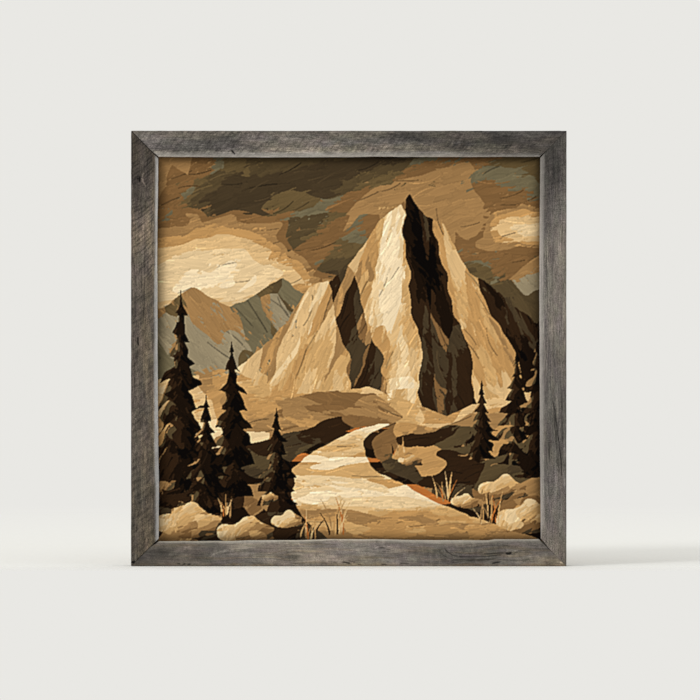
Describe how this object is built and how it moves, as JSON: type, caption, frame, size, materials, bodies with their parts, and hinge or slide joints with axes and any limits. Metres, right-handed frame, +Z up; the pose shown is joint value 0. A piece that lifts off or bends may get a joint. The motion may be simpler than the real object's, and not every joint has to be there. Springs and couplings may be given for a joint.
{
  "type": "framed art print",
  "caption": "Square painterly art print, recessed behind the sloped inner lip of a deep mitred barn-wood frame, with a sawtooth hanger and bumpers behind.",
  "frame": {"origin": "centre of the footprint, on the surface that the bottom rail stands on", "axes": "+Z up, the picture faces -Y, +X to the viewer's right"},
  "size_m": [0.508, 0.0412, 0.508],
  "materials": {
    "barn_wood_bottom": "dry weathered grey, rough sawn, blotchy",
    "barn_wood_right": "dry weathered grey, long open grain",
    "barn_wood_top": "dry weathered grey, mottled, darker to the right",
    "barn_wood_left": "dry weathered olive-grey, slanting saw marks",
    "printed_art": "satin print of thick palette-knife paint in tan, umber, cream and olive",
    "hardboard": "smooth brown hardboard, raw edge",
    "backing": "matt brown fibre board with fine flecks",
    "zinc_steel": "thin zinc-plated steel, satin",
    "brassed_steel": "stamped brass-plated steel, slightly dulled",
    "dark_rubber": "soft matt rubber"
  },
  "bodies": {
    "root": {"frame_rail_bottom": "barn_wood_bottom", "frame_rail_right": "barn_wood_right", "frame_rail_top": "barn_wood_top", "frame_rail_left": "barn_wood_left", "art_print": "printed_art", "art_board": "hardboard", "backing_board": "backing", "framers_point_bottom_1": "zinc_steel", "framers_point_bottom_2": "zinc_steel", "framers_point_bottom_3": "zinc_steel", "framers_point_right_1": "zinc_steel", "framers_point_right_2": "zinc_steel", "framers_point_right_3": "zinc_steel", "framers_point_top_1": "zinc_steel", "framers_point_top_2": "zinc_steel", "framers_point_top_3": "zinc_steel", "framers_point_left_1": "zinc_steel", "framers_point_left_2": "zinc_steel", "framers_point_left_3": "zinc_steel", "corner_wedge_bottom_right": "zinc_steel", "corner_wedge_top_right": "zinc_steel", "corner_wedge_top_left": "zinc_steel", "corner_wedge_bottom_left": "zinc_steel", "sawtooth_hanger": "brassed_steel", "hanger_nail_left": "brassed_steel", "hanger_nail_right": "brassed_steel", "rear_bumper_left": "dark_rubber", "rear_bumper_right": "dark_rubber"}
  },
  "joints": []
}
